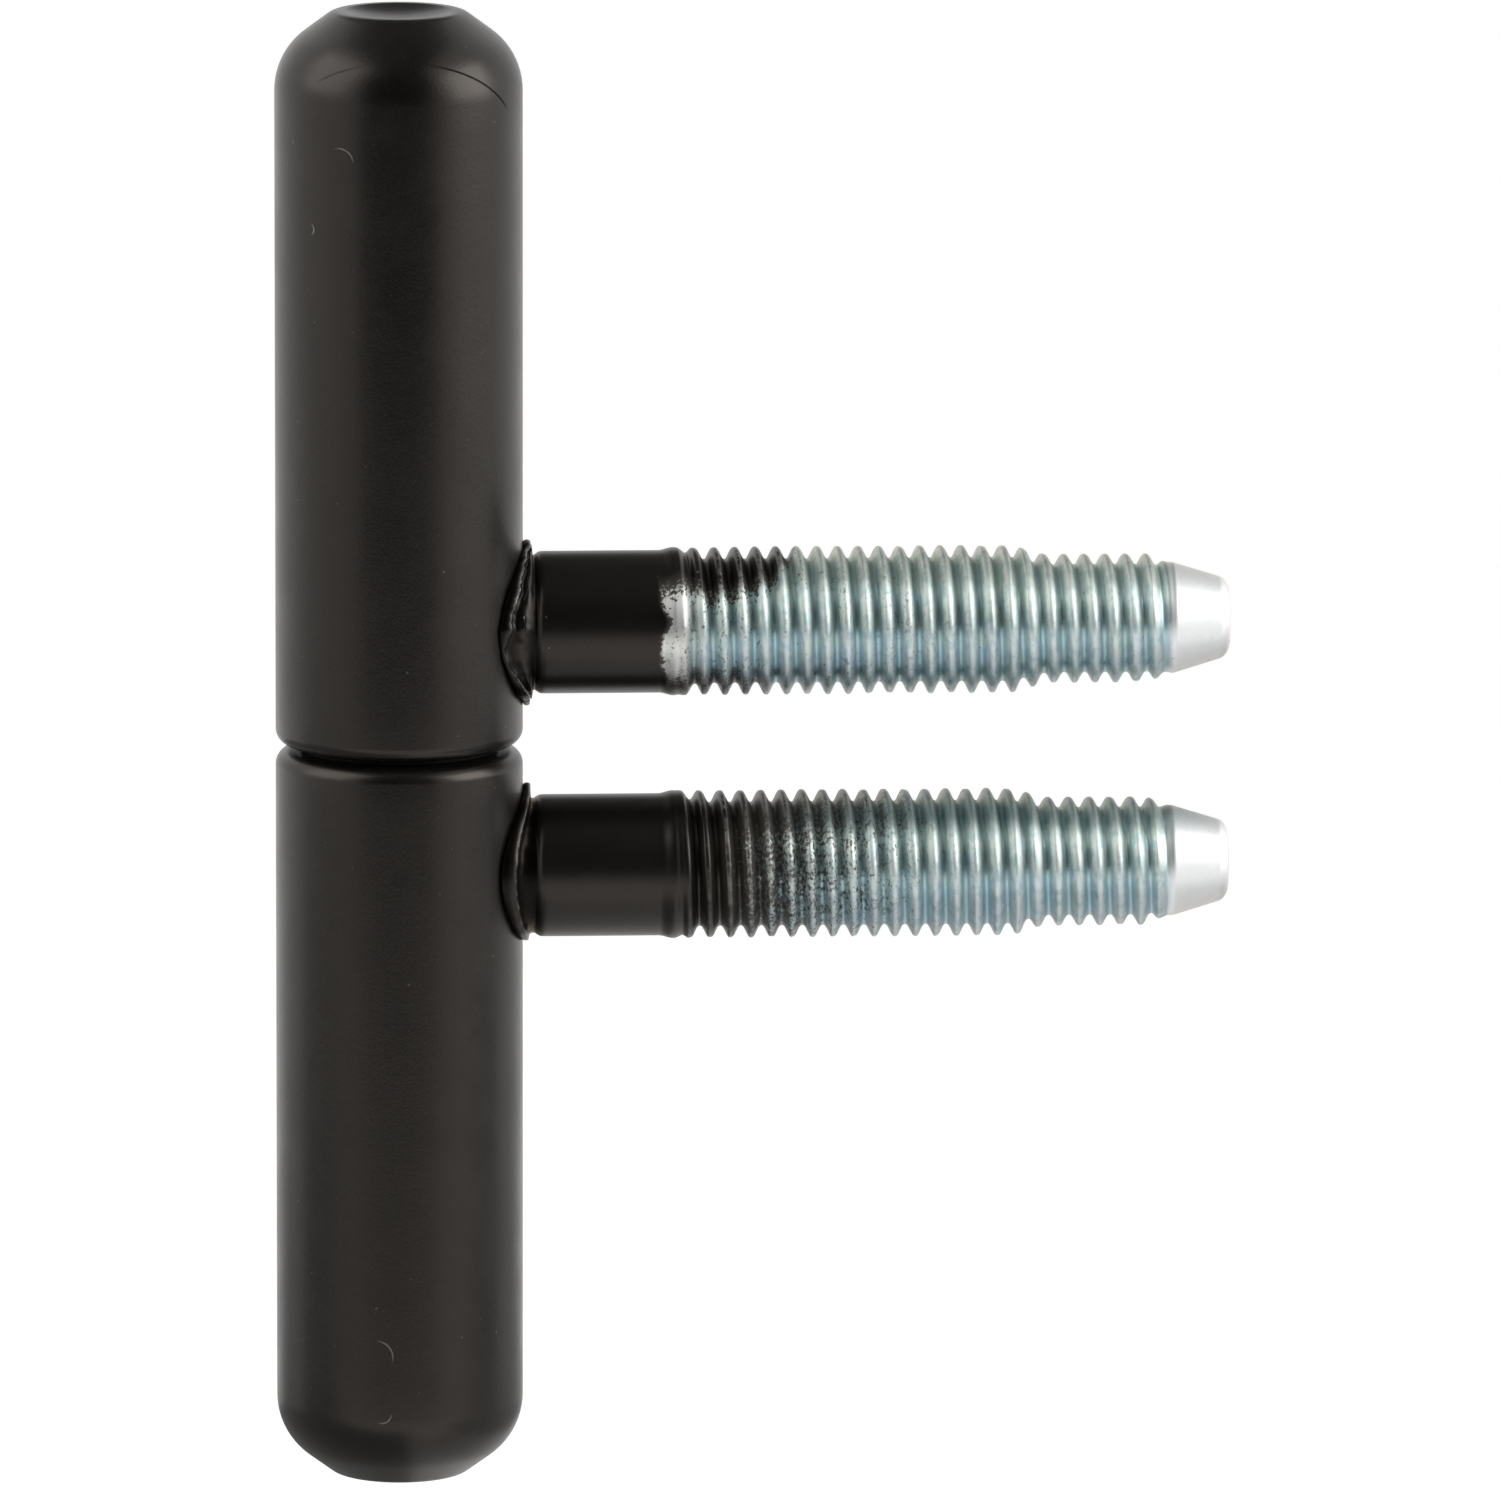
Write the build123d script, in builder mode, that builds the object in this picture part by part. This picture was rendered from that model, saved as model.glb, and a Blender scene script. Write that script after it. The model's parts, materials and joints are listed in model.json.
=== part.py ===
"""Drill-in window hinge: two turned barrels on one hinge pin, each with a threaded stud welded to its side.

Millimetres. The origin is on the axis of the lower stud, the one screwed into the window frame, at the
middle of its first thread crest. +X runs along the studs to their tips and +Z up the hinge axis.
"""

import os
from math import radians, tan

from build123d import *

os.makedirs("parts", exist_ok=True)

# Barrels: round bars with a coned and dished outer end and a blind bore from the joint face
barrel_diameter = 15.0
barrel_length = 44.8
joint_gap = 0.4
joint_edge_radius = 0.9
end_face_diameter = 8.0
end_cone_height = 2.6
end_edge_radius = 0.55
cone_blend_radius = 5.5
end_rim_width = 0.75
dish_depth = 0.5
dish_edge_radius = 0.3

# Hinge pin: pressed into the lower barrel, free to turn in the upper one
pin_diameter = 8.0
pin_pressed_length = 25.0
pin_free_length = 28.0
pin_end_chamfer = 0.8
pin_running_clearance = 0.05
pin_end_clearance = 1.0
drill_point_angle = 118

# Thrust washer between the joint faces
washer_width = 1.9
washer_pin_clearance = 0.08
washer_edge_chamfer = 0.12

# Studs: a short neck beside the weld bead, then a plain shank
stud_spacing = 15.0
shank_diameter = 8.65
shank_length = 8.1
shoulder_length = 0.3
neck_length = 0.3
neck_depth = 0.22

# Weld bead: a collar that hugs the barrel around the foot of the stud
bead_overhang = 0.33
bead_thickness = 0.55

# Threads: ring ridges with the pitch and section of the real thread
pitch = 1.25
crest_flat = 0.16
root_flat = 0.2
thread_relief = 0.25
major_diameter = 9.0
thread_depth = 0.75
full_turns = 16
taper_turns = 2
lead_major_diameter = 7.8
lead_thread_depth = 0.6
lead_turns = 6

# Stud tip: a smooth cone with a rounded end
tip_root_step = 0.07
tip_cone_length = 2.8
tip_cone_taper = 0.85
tip_chamfer = 0.6
tip_edge_radius = 0.5

# Values that follow from the sizes above
barrel_radius = barrel_diameter / 2
pin_radius = pin_diameter / 2
shank_radius = shank_diameter / 2
bead_radius = shank_radius + bead_overhang
thread_turns = full_turns + taper_turns + lead_turns
shank_end_x = -(pitch / 2 + thread_relief)
shank_start_x = shank_end_x - shank_length
hinge_x = shank_start_x - shoulder_length - neck_length - bead_thickness - barrel_radius
joint_z = stud_spacing / 2
lower_face_z = joint_z - joint_gap / 2
upper_face_z = joint_z + joint_gap / 2
upper_bore_depth = pin_free_length - joint_gap + pin_end_clearance
washer_bore_radius = pin_radius + washer_pin_clearance
hinge_axis = Axis((hinge_x, 0, 0), (0, 0, 1))


def draw_barrel_section(bore_radius, bore_depth):
    """Half section of a barrel: x is the radius, y the distance from the joint face."""
    end_face_radius = end_face_diameter / 2
    dish_radius = end_face_radius - end_rim_width
    dish_floor = barrel_length - dish_depth
    drill_point_height = bore_radius / tan(radians(drill_point_angle / 2))
    Polyline(
        (0, dish_floor),
        (0, bore_depth + drill_point_height),
        (bore_radius, bore_depth),
        (bore_radius, 0),
        (barrel_radius, 0),
        (barrel_radius, barrel_length - end_cone_height),
        (end_face_radius, barrel_length),
        (dish_radius, barrel_length),
    )
    TangentArc((0, dish_floor), (dish_radius, barrel_length), tangent=(1, 0))


def round_barrel_edges(section):
    """Rounds the joint edge, the cone's two edges and the rim of the dish."""
    fillet(section.vertices().group_by(Axis.X)[-1].sort_by(Axis.Y)[0], joint_edge_radius)
    fillet(section.vertices().group_by(Axis.X)[-1].sort_by(Axis.Y)[-1], cone_blend_radius)
    fillet(section.vertices().group_by(Axis.Y)[-1].sort_by(Axis.X)[-1], end_edge_radius)
    fillet(section.vertices().group_by(Axis.Y)[-1].sort_by(Axis.X)[0], dish_edge_radius)


def thread_points():
    """Outline of the thread as (x, radius) points, one ridge for each turn."""
    points = []
    for turn in range(thread_turns):
        taper = min(max((turn + 1 - full_turns) / (taper_turns + 1), 0), 1)
        crest = ((1 - taper) * major_diameter + taper * lead_major_diameter) / 2
        root = crest - (1 - taper) * thread_depth - taper * lead_thread_depth
        middle = turn * pitch
        points.append((middle - (pitch - root_flat) / 2, root))
        points.append((middle - crest_flat / 2, crest))
        points.append((middle + crest_flat / 2, crest))
        points.append((middle + (pitch - root_flat) / 2, root))
    return points


def draw_stud_section():
    """Half section of a stud: x is the distance from the first thread crest, y the radius."""
    neck_radius = shank_radius - neck_depth
    tip_start = (thread_turns - 0.5) * pitch
    tip_shoulder = tip_start + tip_cone_length
    tip_end = tip_shoulder + tip_chamfer
    tip_root_radius = lead_major_diameter / 2 - lead_thread_depth + tip_root_step
    tip_end_radius = tip_root_radius - tip_cone_taper
    Polyline(
        (hinge_x, 0),
        (hinge_x, neck_radius),
        (shank_start_x - shoulder_length, neck_radius),
        (shank_start_x, shank_radius),
        (shank_end_x, shank_radius),
        *thread_points(),
        (tip_start, tip_root_radius),
        (tip_shoulder, tip_end_radius),
        (tip_end, tip_end_radius - tip_chamfer),
        (tip_end, 0),
        close=True,
    )


def make_stud(height):
    """Threaded stud with its weld bead, its axis at this height and its foot shaped to the barrel."""
    across = Plane(origin=(hinge_x, 0, height), x_dir=(0, 1, 0), z_dir=(1, 0, 0))
    along = Plane(origin=(0, 0, height), x_dir=(1, 0, 0), z_dir=(0, -1, 0))
    below = Plane(origin=(hinge_x, 0, height - barrel_diameter))
    barrel_span = 2 * barrel_diameter
    with BuildPart() as stud:
        with BuildSketch(across):
            Circle(bead_radius)
        extrude(amount=barrel_diameter)
        with BuildSketch(below):
            Circle(barrel_radius + bead_thickness)
        extrude(amount=barrel_span, mode=Mode.INTERSECT)
        with BuildSketch(along) as section:
            with BuildLine():
                draw_stud_section()
            make_face()
            fillet(section.vertices().group_by(Axis.X)[-1].sort_by(Axis.Y)[-1], tip_edge_radius)
        revolve(axis=Axis((0, 0, height), (1, 0, 0)))
        with BuildSketch(below):
            Circle(barrel_radius)
        extrude(amount=barrel_span, mode=Mode.SUBTRACT)
    return stud.part


# Lower barrel, fixed to the window frame by its stud
lower_plane = Plane(origin=(hinge_x, 0, lower_face_z), x_dir=(1, 0, 0), z_dir=(0, 1, 0))
with BuildPart() as lower_barrel:
    with BuildSketch(lower_plane) as lower_section:
        with BuildLine():
            draw_barrel_section(pin_radius, pin_pressed_length)
        make_face()
        round_barrel_edges(lower_section)
    revolve(axis=hinge_axis)
lower_barrel.part.label = "lower_barrel"
export_step(lower_barrel.part, "parts/lower_barrel.step")

# Upper barrel, carried on the hinge pin
upper_plane = Plane(origin=(hinge_x, 0, upper_face_z), x_dir=(1, 0, 0), z_dir=(0, -1, 0))
with BuildPart() as upper_barrel:
    with BuildSketch(upper_plane) as upper_section:
        with BuildLine():
            draw_barrel_section(pin_radius + pin_running_clearance, upper_bore_depth)
        make_face()
        round_barrel_edges(upper_section)
    revolve(axis=hinge_axis)
upper_barrel.part.label = "upper_barrel"
export_step(upper_barrel.part, "parts/upper_barrel.step")

# Lower stud, welded to the lower barrel
lower_stud = make_stud(0)
lower_stud.label = "lower_stud"
export_step(lower_stud, "parts/lower_stud.step")

# Upper stud, welded to the upper barrel
upper_stud = make_stud(stud_spacing)
upper_stud.label = "upper_stud"
export_step(upper_stud, "parts/upper_stud.step")

# Hinge pin, pressed into the lower barrel
with BuildPart() as hinge_pin:
    with BuildSketch(Plane(origin=(hinge_x, 0, lower_face_z - pin_pressed_length))):
        Circle(pin_radius)
    extrude(amount=pin_pressed_length + pin_free_length)
    chamfer(hinge_pin.edges().filter_by(GeomType.CIRCLE), pin_end_chamfer)
hinge_pin.part.label = "hinge_pin"
export_step(hinge_pin.part, "parts/hinge_pin.step")

# Thrust washer, lying between the joint faces
with BuildPart() as thrust_washer:
    with BuildSketch(Plane(origin=(hinge_x, 0, lower_face_z))):
        Circle(washer_bore_radius + washer_width)
        Circle(washer_bore_radius, mode=Mode.SUBTRACT)
    extrude(amount=joint_gap)
    outer_edges = thrust_washer.edges().filter_by(GeomType.CIRCLE).sort_by(SortBy.RADIUS)[-2:]
    chamfer(outer_edges, washer_edge_chamfer)
thrust_washer.part.label = "thrust_washer"
export_step(thrust_washer.part, "parts/thrust_washer.step")
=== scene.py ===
"""Looks of the drill-in window hinge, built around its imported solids.

The row frame is in metres: the studs run along +X and the hinge axis along +Z. Sizes of the hinge are in
millimetres, as on a workshop drawing, and are turned into metres where a mesh or a material is made. The
studio around it is measured in metres.
"""

import json
import math
from types import SimpleNamespace

import bpy
import numpy as np
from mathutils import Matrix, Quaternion, Vector, noise


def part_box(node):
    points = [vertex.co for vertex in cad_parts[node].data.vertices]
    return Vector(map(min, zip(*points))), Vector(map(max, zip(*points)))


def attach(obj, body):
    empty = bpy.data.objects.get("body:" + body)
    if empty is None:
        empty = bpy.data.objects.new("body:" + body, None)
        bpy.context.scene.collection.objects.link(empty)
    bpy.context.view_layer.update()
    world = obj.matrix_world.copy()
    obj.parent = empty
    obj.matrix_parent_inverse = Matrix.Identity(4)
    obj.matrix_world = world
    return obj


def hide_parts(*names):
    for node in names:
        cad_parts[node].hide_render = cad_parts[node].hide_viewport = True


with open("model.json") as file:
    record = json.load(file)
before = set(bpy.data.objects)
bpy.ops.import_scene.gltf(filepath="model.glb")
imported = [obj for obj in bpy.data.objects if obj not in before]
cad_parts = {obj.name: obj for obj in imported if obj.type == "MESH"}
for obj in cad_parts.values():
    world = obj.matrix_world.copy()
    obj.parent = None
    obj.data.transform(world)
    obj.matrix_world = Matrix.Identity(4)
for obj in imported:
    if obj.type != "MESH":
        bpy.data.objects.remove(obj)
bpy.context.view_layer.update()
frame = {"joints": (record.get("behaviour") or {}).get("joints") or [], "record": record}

MM = 0.001

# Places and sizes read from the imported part
swing_joint = next(joint for joint in frame["joints"] if joint["name"] == "swing")
mount_place = {mount["name"]: mount["pos_m"] for mount in frame["record"]["mounts"]}
barrel_low, barrel_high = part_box("upper_barrel")
pin_low, pin_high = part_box("hinge_pin")
washer_low, washer_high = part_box("thrust_washer")
hinge_x = swing_joint["pos_m"][0] / MM
joint_z = swing_joint["pos_m"][2] / MM
lower_stud_z = mount_place["frame_stud"][2] / MM
upper_stud_z = mount_place["sash_stud"][2] / MM
barrel_radius = (barrel_high.x - barrel_low.x) / 2 / MM
barrel_length = (barrel_high.z - barrel_low.z) / MM
upper_face_z = barrel_low.z / MM
lower_face_z = washer_low.z / MM
pin_radius = (pin_high.x - pin_low.x) / 2 / MM
stud_end_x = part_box("upper_stud")[1].x / MM

# Barrel section
joint_edge_radius = 0.9
end_face_radius = 4.0
end_cone_height = 2.6
end_edge_radius = 1.2
cone_blend_radius = 4.4
end_rim_width = 0.75
dish_depth = 0.5
dish_edge_radius = 0.3
dish_steps = 8
bore_edge_radius = 0.25
running_clearance = 0.05
pin_end_clearance = 1.0
drill_point_half_angle = math.radians(59)
barrel_segments = 192

# Hinge pin and washer
pin_chamfer = 0.8
pin_edge_radius = 0.15
washer_clearance = 0.08
washer_inner_radius = pin_radius + washer_clearance
washer_edge_radius = 0.12
turned_segments = 128

# Steps of the turned outlines
barrel_arc_degrees = 5
turned_arc_degrees = 7.5
longest_stretch = 2.0

# Stud: distances along it start at the middle of its first full crest
pitch = 1.25
crest_radius = 4.5
root_radius = 3.76
lead_crest_radius = 3.92
lead_root_radius = 3.28
crest_half_width = 0.145
flank_width = 0.35
thread_rounding = 0.30
shank_radius = 4.325
neck_radius = 4.105
shank_start_x = -8.975
shoulder_length = 0.45
shoulder_x = shank_start_x - shoulder_length
tip_start_x = 29.375
tip_shoulder_x = 32.175
tip_root_radius = 3.37
tip_shoulder_radius = 2.52
tip_edge_radius = 0.62
tip_overlap = 0.1
stud_segments = 144

# Stretches along the stud where its thread changes: (start, end)
helix_start = (-8.0, -3.4)
shank_swell = (-1.9, -1.0)
wear_start = (-1.2, 0.0)
thread_start = (-1.05, 0.55)
lead_step = (19.2, 22.0)
crest_run_out = (27.6, 29.3)
root_run_out = (27.8, 29.4)
wear_end = (28.4, 29.4)

# Rows of points along the stud
first_shank_rows = (0.12, 0.45)
shank_rows_start = 1.0
shank_row_step = 0.6
thread_turns = range(-2, 24)
crest_side_rows = (0.05, 0.13, 0.20, 0.26, 0.34, 0.44, 0.50, 0.56)
tip_rows = 9
tip_rows_gap = 0.2
tip_rows_margin = 0.05
tip_edge_degrees = range(0, 91, 10)

# Unevenness of the thread
crest_dents = 0.16
crest_dents_each_turn = 2.3
crest_dents_bias = 0.1
thread_ripple = 0.012
thread_ripple_waves = 1.6
thread_ripple_seed = 3

# Weld flash: metal squeezed out around the foot of a stud, with a ridge, a shelf behind it and a groove
groove_width = 0.10
ridge_least_height = 0.15
ridge_to_groove = 0.12
shelf_unevenness = 0.10
shelf_waves = 9.0
shelf_wave_step = 3.1
shelf_seed = 17
shoulder_shares = (0.25, 0.5, 0.75)
shoulder_wear = 0.5
foot_overhang = 1.0
foot_radius = crest_radius + foot_overhang
foot_depth = 0.6

# Section of the flash from the barrel to its ridge: (outward, share of the way to the ridge, wear). Wear
# near 1 on the ridge also paints a highlight there
weld_wall = (
    (-0.20, -0.30, 0.0),
    (-0.14, 0.0, 0.0),
    (-0.03, 0.10, 0.0),
    (0.03, 0.28, 0.2),
    (0.05, 0.52, 0.3),
    (0.03, 0.78, 0.7),
    (-0.02, 0.94, 0.95),
    (-0.08, 1.0, 1.0),
    (-0.16, 1.02, 0.9),
)

# Layers of unevenness of the flash, from coarse to torn: (waves, seed step, outward, along)
weld_layers = (
    (2.2, 0, 0.08, 0.12),
    (7.0, 5, 0.06, 0.10),
    (16.0, 9, 0.04, 0.07),
)

# The ridge of a weld lies this far from the hinge axis, at its ends above and below the stud and at its
# sides. The shelf is (share of the way to the groove, share of the height, wear), and the lumps are
# (degrees round the stud, width in degrees, outward, along)
upper_weld = {
    "seed": 11.0,
    "radius": 4.74,
    "ridge_ends": 7.85,
    "ridge_sides": 6.62,
    "rough": 1.35,
    "shelf": (
        (0.08, 0.80, 0.5),
        (0.20, 0.62, 0.3),
        (0.36, 0.70, 0.6),
        (0.52, 0.82, 0.93),
        (0.68, 0.66, 0.6),
        (0.86, 0.20, 0.2),
    ),
    "lumps": (
        (86, 7, 0.22, 0.15),
        (264, 9, 0.30, 0.12),
        (278, 5, 0.22, 0.0),
        (236, 14, 0.10, 0.25),
        (195, 16, 0.0, -0.35),
        (150, 10, 0.08, 0.22),
    ),
}
lower_weld = {
    "seed": 23.0,
    "radius": 4.72,
    "ridge_ends": 7.95,
    "ridge_sides": 6.92,
    "rough": 0.45,
    "shelf": (
        (0.06, 0.80, 0.4),
        (0.14, 0.50, 0.1),
        (0.24, 0.26, 0.0),
        (0.38, 0.12, 0.0),
        (0.60, 0.03, 0.0),
        (0.82, 0.0, 0.0),
    ),
    "lumps": (
        (88, 9, 0.32, 0.0),
        (268, 30, -0.22, -0.10),
    ),
}

# Bare patch of the upper stud, a window in front that opens all round further along. Its edges are
# (along the stud, degrees up from the front)
bare_top_edge = (
    (-1.7, 34), (-0.2, 39), (0.5, 30), (1.5, 28), (2.5, 32), (3.2, 36),
    (4.4, 40), (5.2, 50), (5.8, 66), (7.0, 115), (10.0, 200),
)
bare_bottom_edge = (
    (-1.7, -45), (0.5, -47), (3.0, -49), (4.2, -60), (5.0, -90), (7.0, -110), (10.0, -200),
)
bare_shank_edge = -1.85
bare_shank_sharpness = 5.0
bare_notch_depth = 0.5
bare_notch_degrees = 171
bare_notch_width = 9
bare_corner_depth = 0.45
bare_corner_degrees = (-25, -48)
bare_limit = 1.5

# Bareness of the lower stud, where the black thins out slowly: (along the stud, bareness)
lower_bareness = (
    (0.0, -1.3), (2.2, -0.70), (3.2, -0.30), (5.0, -0.05),
    (7.0, 0.15), (10.0, 0.40), (13.0, 0.66), (16.0, 1.3),
)
lower_top_paint = 0.3
lower_top_side = (0.4, 0.9)


def smoothstep(low, high, value):
    """0 below low, 1 above high and an even curve between, for numbers and arrays."""
    share = np.clip((value - low) / (high - low), 0, 1)
    return share * share * (3 - 2 * share)


def soft_min(first, second, width):
    """The smaller of two values, with the corner between them rounded over this width."""
    overlap = np.maximum(width - np.abs(first - second), 0)
    return np.minimum(first, second) - overlap * overlap / (4 * width)


def soft_max(first, second, width):
    """The larger of two values, with the corner between them rounded over this width."""
    return -soft_min(-first, -second, width)


def follow_points(value, points):
    """Straight lines through (value, result) points, for numbers and arrays."""
    values, results = zip(*points)
    return np.interp(value, values, results)


def wave(places, seed):
    """Smooth noise from -1 to 1 at these places, an array of points or of numbers."""
    off_grid = 0.37
    flat = np.asarray(places, float)
    if flat.ndim == 1:
        return np.array([noise.noise(Vector((value, seed, off_grid))) for value in flat])
    return np.array([noise.noise(Vector(point) + Vector((0, seed, 0))) for point in flat])


# Turned pieces
def rounded(corners, step_degrees):
    """Outline through (radius, height, rounding) corners, with an arc where a corner has a rounding."""
    straight = 1e-4
    points = [Vector(corners[0][:2])]
    for before, here, after in zip(corners, corners[1:], corners[2:]):
        corner = Vector(here[:2])
        to_before = (Vector(before[:2]) - corner).normalized()
        to_after = (Vector(after[:2]) - corner).normalized()
        turn = math.pi - to_before.angle(to_after)
        if here[2] == 0 or turn < straight:
            points.append(corner)
            continue
        tangent_length = here[2] * math.tan(turn / 2)
        middle = (to_before + to_after).normalized()
        centre = corner + middle * (here[2] / math.cos(turn / 2))
        start = corner + to_before * tangent_length - centre
        side = 1 if to_before.cross(to_after) < 0 else -1
        steps = max(2, math.ceil(math.degrees(turn) / step_degrees))
        for step in range(steps + 1):
            angle = side * turn * step / steps
            cosine, sine = math.cos(angle), math.sin(angle)
            turned = (start.x * cosine - start.y * sine, start.x * sine + start.y * cosine)
            points.append(centre + Vector(turned))
    points.append(Vector(corners[-1][:2]))
    return points


def spread(points):
    """The same outline with no stretch between points longer than the longest allowed."""
    made = [points[0]]
    for start, end in zip(points, points[1:]):
        pieces = max(1, math.ceil((end - start).length / longest_stretch))
        made += [start.lerp(end, step / pieces) for step in range(1, pieces + 1)]
    return made


def add_mesh(name, points, faces):
    """New smooth-shaded object from points in millimetres and faces that look outward."""
    mesh = bpy.data.meshes.new(name)
    mesh.from_pydata([tuple(value * MM for value in point) for point in points], [], faces)
    mesh.validate()
    mesh.shade_smooth()
    piece = bpy.data.objects.new(name, mesh)
    bpy.context.scene.collection.objects.link(piece)
    return piece


def lathe(name, outline, z_of, segments, closed=False):
    """Turns an outline of (radius, height) about the hinge axis. A radius of 0 becomes one point.

    The outline runs down its outside. z_of gives the place of a height, and where that counts upward the
    faces are turned over, so that they look outward either way.
    """
    on_axis = 1e-6
    points, rings = [], []
    for place in outline:
        if place.x < on_axis:
            rings.append([len(points)])
            points.append((hinge_x, 0, z_of(place.y)))
            continue
        rings.append(list(range(len(points), len(points) + segments)))
        for step in range(segments):
            angle = 2 * math.pi * step / segments
            points.append((hinge_x + place.x * math.cos(angle), place.x * math.sin(angle), z_of(place.y)))
    if closed:
        rings.append(rings[0])
    faces = []
    for ring, following in zip(rings, rings[1:]):
        for step in range(segments):
            after = (step + 1) % segments
            corners = [ring[step % len(ring)], ring[after % len(ring)]]
            corners += [following[after % len(following)], following[step % len(following)]]
            faces.append(list(dict.fromkeys(corners)))
    if z_of(1) > z_of(0):
        faces = [face[::-1] for face in faces]
    return add_mesh(name, points, faces)


def barrel_outline(bore_radius, bore_depth):
    """Half section of a barrel from the middle of its dish to the drill point of its bore."""
    dish_radius = end_face_radius - end_rim_width
    dish_curve = (dish_radius ** 2 + dish_depth ** 2) / (2 * dish_depth)
    dish_angle = 2 * math.atan(dish_depth / dish_radius)
    dish_floor = barrel_length - dish_depth
    dish = []
    for step in range(dish_steps):
        angle = dish_angle * step / dish_steps
        dish.append((dish_curve * math.sin(angle), dish_floor + dish_curve * (1 - math.cos(angle)), 0))
    corners = dish + [
        (dish_radius, barrel_length, dish_edge_radius),
        (end_face_radius, barrel_length, end_edge_radius),
        (barrel_radius, barrel_length - end_cone_height, cone_blend_radius),
        (barrel_radius, 0, joint_edge_radius),
        (bore_radius, 0, bore_edge_radius),
        (bore_radius, bore_depth, 0),
        (0, bore_depth + bore_radius / math.tan(drill_point_half_angle), 0),
    ]
    return spread(rounded(corners, barrel_arc_degrees))


def make_barrels():
    """Both barrels, from the joint faces outward."""
    pressed_depth = lower_face_z - pin_low.z / MM
    free_depth = pin_high.z / MM - upper_face_z + pin_end_clearance
    lower = lathe("barrel_lower", barrel_outline(pin_radius, pressed_depth),
                  lambda height: lower_face_z - height, barrel_segments)
    upper = lathe("barrel_upper", barrel_outline(pin_radius + running_clearance, free_depth),
                  lambda height: upper_face_z + height, barrel_segments)
    return lower, upper


def make_pin():
    """Ground hinge pin with a chamfer and a softly broken edge at each end."""
    low, high = pin_low.z / MM, pin_high.z / MM
    corners = [
        (0, low, 0),
        (pin_radius - pin_chamfer, low, pin_edge_radius),
        (pin_radius, low + pin_chamfer, pin_edge_radius),
        (pin_radius, high - pin_chamfer, pin_edge_radius),
        (pin_radius - pin_chamfer, high, pin_edge_radius),
        (0, high, 0),
    ]
    outline = spread(rounded(corners, turned_arc_degrees))[::-1]
    return lathe("pin", outline, lambda height: height, turned_segments)


def make_washer():
    """Thrust washer with rounded rims, lying in the gap between the barrels."""
    low, high = washer_low.z / MM, washer_high.z / MM
    outer = (washer_high.x - washer_low.x) / 2 / MM
    middle = (washer_inner_radius + outer) / 2
    corners = [
        (middle, high, 0),
        (outer, high, washer_edge_radius),
        (outer, low, washer_edge_radius),
        (washer_inner_radius, low, washer_edge_radius),
        (washer_inner_radius, high, washer_edge_radius),
        (middle, high, 0),
    ]
    outline = rounded(corners, turned_arc_degrees)[:-1]
    return lathe("washer", outline, lambda height: height, turned_segments, closed=True)


# Studs
def thread_profile(offset, crest_level):
    """Share of the thread's depth at this distance from a crest: 0 in the root and 1 on the crest."""
    flank = 1 - (np.abs(offset) - crest_half_width) / flank_width
    return soft_min(soft_max(flank, 0, thread_rounding), crest_level, thread_rounding)


def crest_line(x):
    """Radius of the crests along the stud: shank, full thread, lead thread and run-out."""
    swell = (crest_radius - shank_radius) * smoothstep(*shank_swell, x)
    step = (crest_radius - lead_crest_radius) * smoothstep(*lead_step, x)
    run_out = (lead_crest_radius - tip_root_radius) * smoothstep(*crest_run_out, x)
    return shank_radius + swell - step - run_out


def depth_line(x):
    """Depth of the thread along the stud, from nothing at the shank to nothing at the tip."""
    full = crest_radius - root_radius
    lead = lead_crest_radius - lead_root_radius
    depth = full + (lead - full) * smoothstep(*lead_step, x)
    return depth * smoothstep(*thread_start, x) * (1 - smoothstep(*root_run_out, x))


def tip_line(x):
    """Radius of the smooth tip: a cone that ends in a rounded edge."""
    slope = (tip_root_radius - tip_shoulder_radius) / (tip_shoulder_x - tip_start_x)
    cone = tip_root_radius - slope * (x - tip_start_x)
    past = np.clip((x - (stud_end_x - tip_edge_radius)) / tip_edge_radius, 0, 1)
    return cone - tip_edge_radius * (1 - np.sqrt(1 - past * past))


def row_places():
    """Places of the rows of points from the shoulder to the tip, and how far each follows the helix."""
    along = [shank_start_x + step for step in first_shank_rows]
    along += list(np.arange(shank_start_x + shank_rows_start, helix_start[1], shank_row_step))
    samples = [-pitch / 2] + [-offset for offset in crest_side_rows[::-1]] + list(crest_side_rows)
    for turn in thread_turns:
        along += [turn * pitch + sample for sample in samples]
    along += list(np.linspace(along[-1] + tip_rows_gap, tip_shoulder_x - tip_rows_margin, tip_rows))
    for degrees in tip_edge_degrees:
        along.append(stud_end_x - tip_edge_radius * (1 - math.sin(math.radians(degrees))))
    along = np.array(along)
    follow = smoothstep(*helix_start, along) * (1 - smoothstep(tip_start_x, tip_shoulder_x, along))
    return along, follow


def barrel_surface(radius, angle):
    """Place along the stud where a line at this radius and angle about its axis meets the barrel."""
    return hinge_x + np.sqrt(barrel_radius ** 2 - (radius * np.cos(angle)) ** 2)


def bump_at(angle, place_degrees, width_degrees):
    """Bell-shaped bump around one angle of the stud."""
    turn = np.degrees(angle) - place_degrees
    turn = (turn + 180) % 360 - 180
    return np.exp(-(turn / width_degrees) ** 2)


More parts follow.
